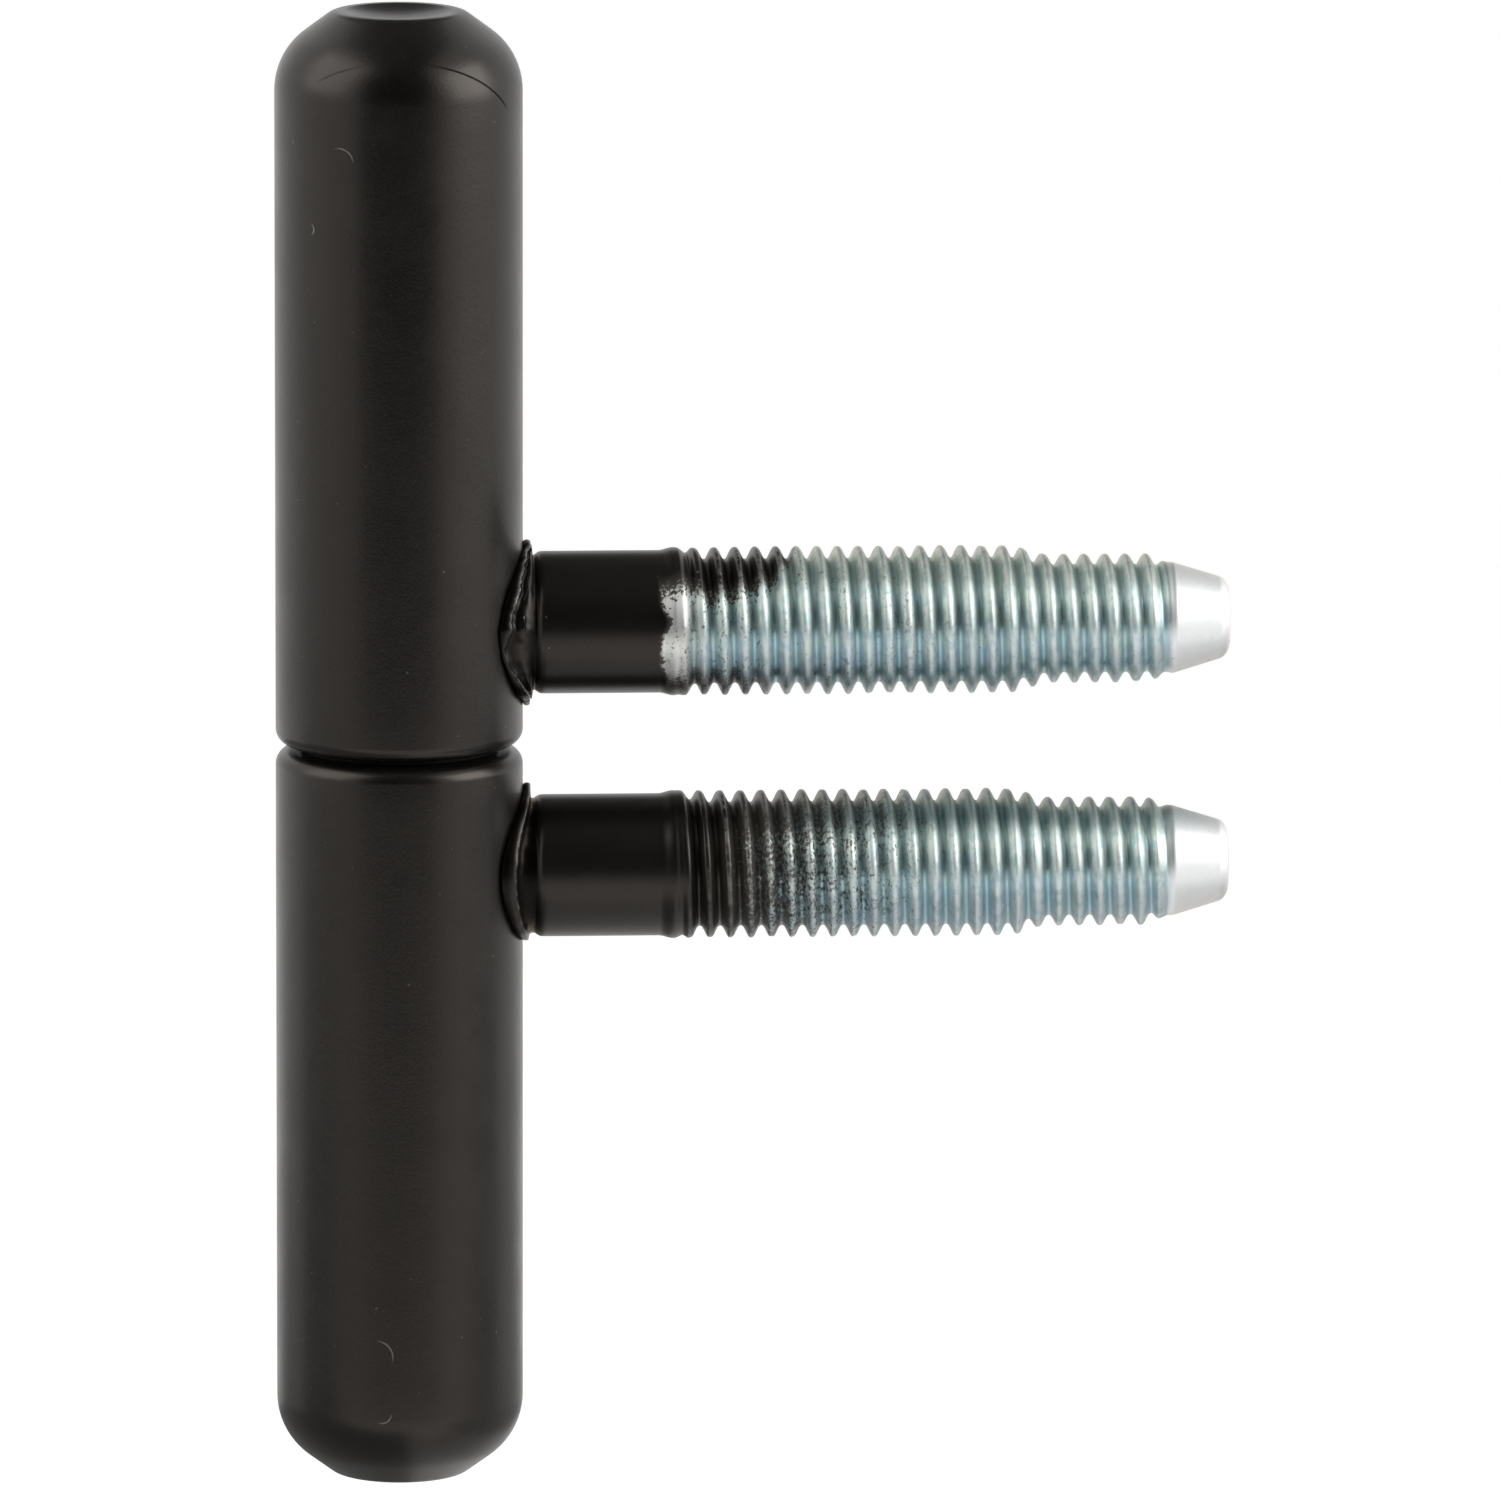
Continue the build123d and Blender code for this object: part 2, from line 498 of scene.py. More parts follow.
def flash_rows(angle, weld):
    """Rows of (places, radii, wear) for the weld flash, from inside the barrel to the stud's shoulder."""
    around = np.stack([np.cos(angle), np.sin(angle), np.zeros_like(angle)], 1)
    rough = weld["rough"]
    layers = [(wave(around * waves, weld["seed"] + step), outward, along)
              for waves, step, outward, along in weld_layers]
    lip = weld["radius"] + rough * sum(outward * uneven for uneven, outward, along in layers)
    sideways = np.cos(angle) ** 2
    ridge = hinge_x + weld["ridge_ends"] + (weld["ridge_sides"] - weld["ridge_ends"]) * sideways
    ridge = ridge + rough * sum(along * uneven for uneven, outward, along in layers)
    for place, width, outward, along in weld["lumps"]:
        bell = bump_at(angle, place, width)
        lip = lip + outward * bell
        ridge = ridge + along * bell
    groove = shoulder_x - groove_width
    ridge = np.clip(ridge, barrel_surface(lip, angle) + ridge_least_height, groove - ridge_to_groove)

    rows = []
    for outward, share, worn in weld_wall:
        radius = lip + outward
        foot = barrel_surface(radius, angle)
        rows.append((foot + share * (ridge - foot), radius, worn))
    top = lip + weld_wall[-1][0]
    for share, height, worn in weld["shelf"]:
        lumpy = wave(around * shelf_waves + share * shelf_wave_step, weld["seed"] + shelf_seed)
        unevenness = rough * shelf_unevenness * lumpy * math.sin(math.pi * share)
        radius = neck_radius + (top - neck_radius) * height + unevenness
        rows.append((ridge + (groove - ridge) * share, radius, worn))
    for place in (groove, shoulder_x):
        rows.append((np.full_like(angle, place), np.full_like(angle, neck_radius), 0.0))
    for share in shoulder_shares:
        place = shoulder_x + share * shoulder_length
        radius = neck_radius + (shank_radius - neck_radius) * math.sin(share * math.pi / 2)
        rows.append((np.full_like(angle, place), np.full_like(angle, radius), shoulder_wear))
    return rows


def thread_rows(angle, phase, seed):
    """Rows of (places, radii, wear) from the shank to the tip, and how far each row follows the helix."""
    turn_share = angle / (2 * np.pi)
    along, follow = row_places()
    rows = []
    for place, share in zip(along, follow):
        x = place + pitch * turn_share * share
        helix = place - phase
        offset = (helix / pitch + 0.5) % 1.0 * pitch - pitch / 2
        turns = helix / pitch + turn_share
        dents = np.clip(wave(turns * crest_dents_each_turn, seed) + crest_dents_bias, 0, 1)
        profile = thread_profile(np.full_like(angle, offset), 1.0 - crest_dents * dents)
        depth = depth_line(x)
        radius = crest_line(x) - depth * (1 - profile)
        spots = np.stack([x, radius * np.cos(angle), radius * np.sin(angle)], 1)
        ripple = thread_ripple * wave(spots * thread_ripple_waves, seed + thread_ripple_seed)
        radius = radius + ripple * np.clip(depth, 0, 1)
        radius = np.where(x > tip_start_x - tip_overlap, np.minimum(radius, tip_line(x)), radius)
        worn = profile * smoothstep(*wear_start, x) * (1 - smoothstep(*wear_end, x))
        rows.append((x, radius, worn))
    return rows, follow


def upper_bare(x, angle):
    """How far a place on the upper stud is inside its bare patch, in millimetres."""
    up = 180 - np.degrees(angle)
    up = (up + 180) % 360 - 180
    top = follow_points(x, bare_top_edge)
    bottom = follow_points(x, bare_bottom_edge)
    inside = np.minimum(top - up, up - bottom) * math.radians(1) * crest_radius
    notch = bare_notch_depth * bump_at(angle, bare_notch_degrees, bare_notch_width)
    corner = bare_corner_depth * smoothstep(*bare_corner_degrees, up)
    shank_side = bare_shank_sharpness * (x - bare_shank_edge - notch - corner)
    return np.clip(np.minimum(inside, shank_side), -bare_limit, bare_limit)


def lower_bare(x, angle):
    """The same for the lower stud, whose upper side keeps a little more paint."""
    return follow_points(x, lower_bareness) - lower_top_paint * smoothstep(*lower_top_side, np.sin(angle))


def zip_columns(left, right, left_x, right_x):
    """Triangles between two columns of points whose places along the stud differ."""
    triangles = []
    at_left = at_right = 0
    while at_left < len(left) - 1 or at_right < len(right) - 1:
        right_done = at_right == len(right) - 1
        if right_done or (at_left < len(left) - 1 and left_x[at_left + 1] <= right_x[at_right + 1]):
            triangles.append((left[at_left], right[at_right], left[at_left + 1]))
            at_left += 1
        else:
            triangles.append((left[at_left], right[at_right], right[at_right + 1]))
            at_right += 1
    return triangles


def stud_faces(x, first_free, last_free):
    """Faces between the rows of a stud, and the fans that close its foot and its tip.

    The free rows follow the helix, so the last column lies further along than the first, and the seam
    between the two is closed with triangles. The two middle points come after the points of the rows.
    """
    rows = len(x)
    last = stud_segments - 1

    def index(row, column):
        return row * stud_segments + column

    faces = []
    for row in range(rows - 1):
        for column in range(last):
            near = (index(row, column), index(row, column + 1))
            far = (index(row + 1, column + 1), index(row + 1, column))
            faces.append(near + far)
    for row in list(range(first_free)) + list(range(last_free, rows - 1)):
        faces.append((index(row, last), index(row, 0), index(row + 1, 0), index(row + 1, last)))
    free = range(first_free, last_free + 1)
    faces += zip_columns([index(row, last) for row in free], [index(row, 0) for row in free],
                         [x[row, last] for row in free], [x[row, 0] for row in free])
    foot_middle = rows * stud_segments
    tip_middle = foot_middle + 1
    for column in range(stud_segments):
        after = (column + 1) % stud_segments
        faces.append((foot_middle, index(0, after), index(0, column)))
        faces.append((tip_middle, index(rows - 1, column), index(rows - 1, after)))
    return faces


def make_stud(name, height, weld, bare_at, phase, seed):
    """Stud with a helical thread, worn crests and the weld flash at its foot.

    Its points carry two values for the material: crest, 1 on worn crests, and bare, the millimetres inside
    the part without paint.
    """
    angle = 2 * np.pi * np.arange(stud_segments) / stud_segments
    foot = flash_rows(angle, weld)
    thread, follow = thread_rows(angle, phase, seed)
    rows = foot + thread
    x = np.array([place for place, radius, worn in rows])
    r = np.array([radius for place, radius, worn in rows])
    crest = np.array([np.broadcast_to(worn, angle.shape) for place, radius, worn in rows])
    bare = bare_at(x, np.broadcast_to(angle, x.shape))

    foot_x = hinge_x + math.sqrt(barrel_radius ** 2 - foot_radius ** 2) - foot_depth
    points = np.stack([x, r * np.cos(angle), height + r * np.sin(angle)], 2).reshape(-1, 3)
    points = np.vstack([points, [[foot_x, 0, height], [stud_end_x, 0, height]]])
    first_free = len(foot) + 1
    last_free = len(foot) + int(np.nonzero(follow > 0)[0][-1]) + 1
    piece = add_mesh(name, points.tolist(), stud_faces(x, first_free, last_free))

    # The last two values are those of the middle points of the foot and the tip
    crest = np.append(crest.reshape(-1), [0.5, 0.0])
    bare = np.append(bare.reshape(-1), [-bare_limit, bare_limit])
    for label, values in (("crest", crest), ("bare", bare)):
        layer = piece.data.attributes.new(label, "FLOAT", "POINT")
        layer.data.foreach_set("value", values.astype(np.float32))
    return piece


barrel_lower, barrel_upper = make_barrels()
pin = make_pin()
washer = make_washer()
stud_upper = make_stud("stud_upper", upper_stud_z, upper_weld, upper_bare, phase=-0.04, seed=3.0)
stud_lower = make_stud("stud_lower", lower_stud_z, lower_weld, lower_bare, phase=0.33, seed=8.0)


# Materials: colours, as red, green, blue and alpha
coat_dark = (0.0036, 0.0031, 0.0029, 1)
coat_light = (0.0068, 0.0058, 0.0052, 1)
coat_sheen = (1.0, 0.90, 0.82, 1)
lint_grey = (0.18, 0.172, 0.16, 1)
root_blue = (0.40, 0.57, 0.64, 1)
root_green = (0.46, 0.59, 0.56, 1)
crest_blue = (0.66, 0.75, 0.78, 1)
crest_green = (0.68, 0.74, 0.69, 1)
shank_zinc = (0.64, 0.645, 0.62, 1)
tip_dull = (0.78, 0.79, 0.79, 1)
tip_bright = (0.85, 0.86, 0.86, 1)
# Painted shade: the dark teal that the upper side of each stud is darkened towards
painted_shade_teal = (0.12, 0.20, 0.21, 1)
dirt_grey = (0.13, 0.135, 0.125, 1)
mist_grey = (0.09, 0.088, 0.08, 1)
thin_coat = (0.075, 0.068, 0.058, 1)
# Worn paint on the crests, which also serves as a painted highlight along the ridge of each weld
worn_coat_and_highlight = (0.17, 0.152, 0.135, 1)
steel_dark = (0.50, 0.50, 0.49, 1)
steel_light = (0.60, 0.60, 0.58, 1)
plastic_dark = (0.002, 0.002, 0.002, 1)
plastic_light = (0.005, 0.005, 0.005, 1)

# Gloss
coat_shine = 0.42
plastic_shine = 0.2
coat_roughness = (0.28, 0.34)
overspray_roughness = 0.33
zinc_roughness = (0.40, 0.48)
steel_roughness = (0.24, 0.36)
plastic_roughness = (0.7, 0.85)
rolled_anisotropy = 0.75
rolled_direction = 0.25

# Scales of the noise: features for each metre, or for each metre along X, Y and Z
coat_cloud_scale = 420
coat_mottle_scale = 6500
coat_gloss_scale = 260
coat_texture_scale = 5200
coat_wave_scale = 900
dust_scale = 2300
streak_scale = (6000, 240, 240)
cloud_scale = 800
patch_scale = 1700
dirt_scale = 3600
dirt_field_scale = 420
speck_scale = 4200
blot_scale = 1300
wear_scale = 1500
ring_scale = (300, 300, 9000)
pit_scale = 4000

# Stretches along the studs where their looks change: (start, end)
crease_fade = 0.2
crease_end = (shoulder_x, shoulder_x + crease_fade)
shank_zinc_edge = (-0.7, 0.7)
dirt_stretch = (4.0, 27.0)
tip_edge = (28.7, 29.3)

# Stretches above the studs' axes where their looks change, the first for the painted shade on their upper
# side, and how fast the zinc gets greener upwards
top_shade_edge = (1.6, 3.6)
rubbed_edge = (-1.0, 1.0)
hue_rise = 90.0

# Fine relief: (strength, depth)
coat_relief = (0.5, 0.02)
plate_relief = (0.3, 0.03)
steel_relief = (0.2, 0.01)

# Marks on the front of the barrels, measured across from the hinge axis and up from the lower stud.
# Each curl of lint is (across, up, radius, degrees of its open side)
front_edge = (-2.0, -1.0)
lint_half_width = (0.02, 0.06)
lint_curls = (
    (-3.8, 44.3, 0.8, 235),
    (-5.7, 40.0, 0.41, 180),
    (-1.7, -28.9, 1.0, 215),
    (-1.4, -32.4, 0.6, 125),
)
scratch_side_height = 43.1
scratch_rise_to_front = 1.08
scratch_rise_to_left = 0.036
scratch_half_width = (0.06, 0.13)
scratch_right_fade_in = (0.8, 3.5)
scratch_right_end = (6.2, 6.5)
scratch_left_fade_in = (-2.0, -3.4)
scratch_left_end = (-5.2, -4.6)
scratch_left_strength = 0.45


def add_node(tree, kind, sockets=None, **settings):
    """Adds a node. sockets maps an input to a value, or to another node's output."""
    made = tree.nodes.new(kind)
    for key, value in settings.items():
        setattr(made, key, value)
    for key, value in (sockets or {}).items():
        if isinstance(value, bpy.types.NodeSocket):
            tree.links.new(value, made.inputs[key])
        else:
            made.inputs[key].default_value = value
    return made


def calc(tree, operation, first, second=0.0, third=0.0):
    """Output of a math node."""
    sockets = {0: first, 1: second, 2: third}
    return add_node(tree, "ShaderNodeMath", sockets, operation=operation).outputs[0]


def weighted_sum(tree, first, first_weight, second, second_weight):
    """Sum of two values, each times its weight."""
    return calc(tree, "ADD", calc(tree, "MULTIPLY", first, first_weight),
                calc(tree, "MULTIPLY", second, second_weight))


def ramp(tree, value, low, high, start=0.0, end=1.0):
    """Smooth change from start to end as the value goes from low to high."""
    sockets = {"Value": value, "From Min": low, "From Max": high, "To Min": start, "To Max": end}
    return add_node(tree, "ShaderNodeMapRange", sockets, interpolation_type="SMOOTHSTEP").outputs["Result"]


def length_ramp(tree, value, lengths, start=0.0, end=1.0):
    """The same between two lengths in millimetres."""
    low, high = lengths
    return ramp(tree, value, low * MM, high * MM, start, end)


def mix_colour(tree, share, first, second):
    """Colour between two colours."""
    return add_node(tree, "ShaderNodeMix", {0: share, 6: first, 7: second}, data_type="RGBA").outputs[2]


def grain(tree, place, scale, detail=2.0, roughness=0.5):
    """Noise from 0 to 1 with features of about 1 / scale metres."""
    sockets = {"Vector": place, "Scale": scale, "Detail": detail, "Roughness": roughness}
    return add_node(tree, "ShaderNodeTexNoise", sockets).outputs["Fac"]


def stretched_grain(tree, place, scales):
    """Noise from 0 to 1 with its own scale along each axis."""
    stretched = add_node(tree, "ShaderNodeMapping", {"Vector": place, "Scale": scales}).outputs["Vector"]
    return grain(tree, stretched, 1.0)


def add_relief(tree, shader, height, strength, depth):
    """Fine relief of the surface, this many millimetres deep."""
    sockets = {"Height": height, "Strength": strength, "Distance": depth * MM}
    bump = add_node(tree, "ShaderNodeBump", sockets)
    tree.links.new(bump.outputs["Normal"], shader.inputs["Normal"])


def new_material(name):
    """Empty material, its node tree, its shader and its object coordinates."""
    made = bpy.data.materials.new(name)
    made.use_nodes = True
    tree = made.node_tree
    shader = tree.nodes["Principled BSDF"]
    place = add_node(tree, "ShaderNodeTexCoord").outputs["Object"]
    return made, tree, shader, place


def coat_colour(tree, place):
    """Satin black coat: nearly even, a little warm, with a fine mottle."""
    clouds = grain(tree, place, coat_cloud_scale, 3)
    mottle = weighted_sum(tree, clouds, 0.6, grain(tree, place, coat_mottle_scale), 0.4)
    return mix_colour(tree, ramp(tree, mottle, 0.3, 0.7), coat_dark, coat_light)


def lint_curl(tree, across, up, curl):
    """Mask of a thin curl of lint: an arc about a centre, open to one side."""
    centre_across, centre_up, radius, open_degrees = curl
    right = calc(tree, "SUBTRACT", across, centre_across * MM)
    above = calc(tree, "SUBTRACT", up, centre_up * MM)
    spot = add_node(tree, "ShaderNodeCombineXYZ", {0: right, 1: above}).outputs[0]
    distance = add_node(tree, "ShaderNodeVectorMath", {0: spot}, operation="LENGTH").outputs["Value"]
    off_ring = calc(tree, "ABSOLUTE", calc(tree, "SUBTRACT", distance, radius * MM))
    ring = length_ramp(tree, off_ring, lint_half_width, 1.0, 0.0)
    opening = math.radians(open_degrees)
    side = weighted_sum(tree, right, math.cos(opening), above, math.sin(opening))
    return calc(tree, "MULTIPLY", ring, length_ramp(tree, side, (-radius, -0.5 * radius), 1.0, 0.0))


def fine_scratch(tree, across, depth, up):
    """Mask of the hairline scratch that runs slanting round the front of the upper barrel."""
    level = calc(tree, "ADD", up, calc(tree, "MULTIPLY", depth, scratch_rise_to_front))
    level = calc(tree, "ADD", level, calc(tree, "MULTIPLY", across, scratch_rise_to_left))
    off_line = calc(tree, "ABSOLUTE", calc(tree, "SUBTRACT", level, scratch_side_height * MM))
    line = length_ramp(tree, off_line, scratch_half_width, 1.0, 0.0)
    right_part = calc(tree, "MULTIPLY", length_ramp(tree, across, scratch_right_fade_in),
                      length_ramp(tree, across, scratch_right_end, 1.0, 0.0))
    left_part = calc(tree, "MULTIPLY",
                     length_ramp(tree, across, scratch_left_fade_in, 0.0, scratch_left_strength),
                     length_ramp(tree, across, scratch_left_end))
    return calc(tree, "MULTIPLY", line, calc(tree, "MAXIMUM", right_part, left_part))


def make_coat():
    """Black coat of the barrels, with the few marks of handling that the front shows.

    The scratch is black metal, which takes its gloss away.
    """
    made, tree, shader, place = new_material("black_coat")
    spot = add_node(tree, "ShaderNodeSeparateXYZ", {0: place}).outputs
    across = calc(tree, "SUBTRACT", spot["X"], hinge_x * MM)
    front = length_ramp(tree, spot["Y"], front_edge, 1.0, 0.0)
    lint = ramp(tree, grain(tree, place, dust_scale, 1), 0.77, 0.83, 0.0, 0.4)
    for curl in lint_curls:
        lint = calc(tree, "MAXIMUM", lint, lint_curl(tree, across, spot["Z"], curl))
    lint = calc(tree, "MULTIPLY", lint, front)
    scratch = calc(tree, "MULTIPLY", fine_scratch(tree, across, spot["Y"], spot["Z"]), front)
    colour = mix_colour(tree, lint, coat_colour(tree, place), lint_grey)
    patchy = grain(tree, place, coat_gloss_scale, 3)
    tree.links.new(colour, shader.inputs["Base Color"])
    tree.links.new(scratch, shader.inputs["Metallic"])
    tree.links.new(ramp(tree, patchy, 0.25, 0.75, *coat_roughness), shader.inputs["Roughness"])
    shader.inputs["Specular IOR Level"].default_value = coat_shine
    shader.inputs["Specular Tint"].default_value = coat_sheen
    fine = grain(tree, place, coat_texture_scale)
    texture = weighted_sum(tree, fine, 0.7, grain(tree, place, coat_wave_scale), 0.6)
    add_relief(tree, shader, texture, *coat_relief)
    return made


def stud_marks(tree, place, axis_height):
    """What the looks of a stud depend on: wear, bareness, and the place along it and above its axis."""
    spot = add_node(tree, "ShaderNodeSeparateXYZ", {0: place}).outputs
    return SimpleNamespace(
        crest=add_node(tree, "ShaderNodeAttribute", attribute_name="crest").outputs["Fac"],
        bare=add_node(tree, "ShaderNodeAttribute", attribute_name="bare").outputs["Fac"],
        x=spot["X"],
        above_axis=calc(tree, "SUBTRACT", spot["Z"], axis_height * MM),
        streaks=stretched_grain(tree, place, streak_scale),
        tip=length_ramp(tree, spot["X"], tip_edge),
    )


def zinc_colour(tree, place, marks, top_shade):
    """Bluish zinc: greener upwards, paler on the crests, white on the tip, a little dirty and misted, with
    painted shade on the upper side.
    """
    cloudy = grain(tree, place, cloud_scale, 3)
    hue = calc(tree, "ADD", cloudy, calc(tree, "MULTIPLY", marks.above_axis, hue_rise))
    greenness = ramp(tree, hue, 0.15, 0.85)
    root = mix_colour(tree, greenness, root_blue, root_green)
    pale = mix_colour(tree, greenness, crest_blue, crest_green)
    patches = ramp(tree, grain(tree, place, patch_scale, 3), 0.35, 0.65, -0.35, 0.25)
    tone = weighted_sum(tree, marks.streaks, 0.55, marks.crest, 0.55)
    tone = calc(tree, "ADD", tone, calc(tree, "MULTIPLY", patches, marks.crest))
    zinc = mix_colour(tree, ramp(tree, tone, 0.20, 0.80), root, pale)
    zinc = mix_colour(tree, length_ramp(tree, marks.x, shank_zinc_edge, 1.0, 0.0), zinc, shank_zinc)
    zinc = mix_colour(tree, marks.tip, zinc, mix_colour(tree, cloudy, tip_dull, tip_bright))
    # Painted shade: each stud's upper side is darkened towards teal, where it lies in shade from above
    top_shade_share = length_ramp(tree, marks.above_axis, top_shade_edge, 0.0, top_shade)
    zinc = mix_colour(tree, top_shade_share, zinc, painted_shade_teal)
    dirt = calc(tree, "MULTIPLY", ramp(tree, grain(tree, place, dirt_scale, 3, 0.6), 0.56, 0.66),
                ramp(tree, grain(tree, place, dirt_field_scale), 0.42, 0.62))
    dirt = calc(tree, "MULTIPLY", dirt, length_ramp(tree, marks.x, dirt_stretch, 0.8, 0.0))
    zinc = mix_colour(tree, dirt, zinc, dirt_grey)
    misted = calc(tree, "ADD", marks.bare, calc(tree, "MULTIPLY", marks.crest, 0.04))
    return mix_colour(tree, ramp(tree, misted, -0.6, 0.5, 0.3, 1.0), mist_grey, zinc)


def overspray_mask(tree, place, marks, spread_out, softness, rubbed):
    """1 where black paint covers the zinc, broken up into specks towards its edge."""
    specks = calc(tree, "SUBTRACT", grain(tree, place, speck_scale, 3, 0.6), 0.5)
    blots = calc(tree, "SUBTRACT", grain(tree, place, blot_scale), 0.5)
    edge = weighted_sum(tree, specks, 3.6 * spread_out, blots, 1.2 * spread_out)
    edge = calc(tree, "ADD", edge, ramp(tree, marks.crest, 0.80, 1.0, -0.10, 0.08))
    rub = calc(tree, "MULTIPLY", ramp(tree, marks.crest, 0.82, 1.0, 0.0, rubbed),
               length_ramp(tree, marks.above_axis, rubbed_edge))
    bare = calc(tree, "ADD", marks.bare, calc(tree, "ADD", edge, rub))
    return ramp(tree, bare, -softness, softness, 1.0, 0.0)


def overspray_colour(tree, place, marks):
    """Black of the overspray, greyer where it is thin and brownish where the crests are worn; the same
    brown paints a highlight along the ridge of each weld.
    """
    thin = mix_colour(tree, ramp(tree, marks.bare, -1.45, 0.2), coat_colour(tree, place), thin_coat)
    wear = calc(tree, "MULTIPLY", ramp(tree, marks.crest, 0.90, 1.0),
                ramp(tree, grain(tree, place, wear_scale, 3), 0.42, 0.60))
    # The worn brown on the weld's ridge is partly a painted highlight
    return mix_colour(tree, calc(tree, "MULTIPLY", wear, 0.85), thin, worn_coat_and_highlight)


def plate_roughness(tree, marks, paint):
    """Streaky roughness of the zinc, a little duller on crests and tip, and the paint's own."""
    streaky = ramp(tree, marks.streaks, 0.3, 0.7, *zinc_roughness)
    zinc = calc(tree, "ADD", streaky, weighted_sum(tree, marks.crest, 0.10, marks.tip, 0.06))
    sockets = {0: paint, 2: zinc, 3: overspray_roughness}
    return add_node(tree, "ShaderNodeMix", sockets, data_type="FLOAT").outputs[0]


def crease_shade(tree, marks):
    """Painted shade in the creases of the weld, up to the stud's shoulder: the share of the paint made
    black metal, which takes its gloss away.
    """
    at_weld = length_ramp(tree, marks.x, crease_end, 1.0, 0.0)
    crease = calc(tree, "MULTIPLY", at_weld, calc(tree, "SUBTRACT", 1.0, marks.crest))
    return ramp(tree, crease, 0.0, 1.0, 0.0, 0.9)


def make_plate(name, axis_height, spread_out, softness, rubbed, top_shade):
    """Zinc plate with black overspray.

    The overspray breaks up into specks over spread_out, with edges as wide as softness. rubbed is how much
    further the crests of the upper side are bare, and the shade given for the top darkens that side as
    painted shade. The creases of the weld are made black metal, which takes their gloss away as painted
    shade.
    """
    made, tree, shader, place = new_material(name)
    marks = stud_marks(tree, place, axis_height)
    paint = overspray_mask(tree, place, marks, spread_out, softness, rubbed)
    zinc = zinc_colour(tree, place, marks, top_shade)
    colour = mix_colour(tree, paint, zinc, overspray_colour(tree, place, marks))
    metal = calc(tree, "SUBTRACT", 1.0, paint)
    rolled = calc(tree, "MULTIPLY", metal, calc(tree, "SUBTRACT", 1.0, marks.tip))
    around = add_node(tree, "ShaderNodeTangent", direction_type="RADIAL", axis="X").outputs["Tangent"]
    tree.links.new(colour, shader.inputs["Base Color"])
    # Painted shade: the creases of the weld are made black metal, which kills their gloss
    tree.links.new(calc(tree, "MAXIMUM", metal, crease_shade(tree, marks)), shader.inputs["Metallic"])
    tree.links.new(plate_roughness(tree, marks, paint), shader.inputs["Roughness"])
    tree.links.new(calc(tree, "MULTIPLY", rolled, rolled_anisotropy), shader.inputs["Anisotropic"])
    tree.links.new(around, shader.inputs["Tangent"])
    shader.inputs["Anisotropic Rotation"].default_value = rolled_direction
    shader.inputs["Specular IOR Level"].default_value = coat_shine
    shader.inputs["Specular Tint"].default_value = coat_sheen
    height = calc(tree, "ADD", calc(tree, "MULTIPLY", marks.streaks, 0.4), paint)
    add_relief(tree, shader, height, *plate_relief)
    return made


def make_steel():
    """Ground steel of the hinge pin, with fine rings from grinding."""
    made, tree, shader, place = new_material("ground_steel")
    rings = stretched_grain(tree, place, ring_scale)
    tree.links.new(mix_colour(tree, rings, steel_dark, steel_light), shader.inputs["Base Color"])
    tree.links.new(ramp(tree, rings, 0.3, 0.7, *steel_roughness), shader.inputs["Roughness"])
    shader.inputs["Metallic"].default_value = 1.0
    add_relief(tree, shader, rings, *steel_relief)
    return made


def make_plastic():
    """Matte black plastic of the washer, finely pitted."""
    made, tree, shader, place = new_material("washer_plastic")
    pits = grain(tree, place, pit_scale, 3)
    tree.links.new(mix_colour(tree, pits, plastic_dark, plastic_light), shader.inputs["Base Color"])
    tree.links.new(ramp(tree, pits, 0.3, 0.7, *plastic_roughness), shader.inputs["Roughness"])
    shader.inputs["Specular IOR Level"].default_value = plastic_shine
    return made


coat = make_coat()
plate_upper = make_plate("zinc_plate_upper", upper_stud_z,
                         spread_out=1.7, softness=0.2, rubbed=1.0, top_shade=0.12)
plate_lower = make_plate("zinc_plate_lower", lower_stud_z,
                         spread_out=1.0, softness=0.40, rubbed=0.0, top_shade=0.6)
steel = make_steel()
plastic = make_plastic()

for piece, body, node, slot, material in (
    (barrel_lower, "lower_leaf", "lower_barrel", "black_coat", coat),
    (barrel_upper, "upper_leaf", "upper_barrel", "black_coat", coat),
    (stud_lower, "lower_leaf", "lower_stud", "zinc_plate", plate_lower),
    (stud_upper, "upper_leaf", "upper_stud", "zinc_plate", plate_upper),
    (pin, "lower_leaf", "hinge_pin", "pin_steel", steel),
    (washer, "washer", "thrust_washer", "washer_plastic", plastic),
):
    piece.data.materials.append(material)
    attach(piece, body)
    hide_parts(node)


# Camera, in millimetres: a little above and to the left of the hinge, fitted to its outline in the picture
image_width = 1500
camera_distance = 1200
camera_azimuth = math.radians(-3.1)
camera_elevation = math.radians(10.5)
camera_roll = math.radians(0.12)
camera_focal_pixels = 19760
camera_target = Vector((3.685, 0, 7.017))
sensor_width = 36.0

back = Vector((
    math.sin(camera_azimuth) * math.cos(camera_elevation),
    -math.cos(camera_azimuth) * math.cos(camera_elevation),
    math.sin(camera_elevation),
))
camera_data = bpy.data.cameras.new("camera")
camera_data.sensor_width = sensor_width
camera_data.lens = sensor_width * camera_focal_pixels / image_width
camera_data.clip_start = 0.01
camera_data.clip_end = 50
camera = bpy.data.objects.new("camera", camera_data)
camera.location = (camera_target + camera_distance * back) * MM
camera.rotation_mode = "QUATERNION"
camera.rotation_quaternion = (-back).to_track_quat("-Z", "Y") @ Quaternion((0, 0, 1), camera_roll)
bpy.context.scene.collection.objects.link(camera)
bpy.context.scene.camera = camera


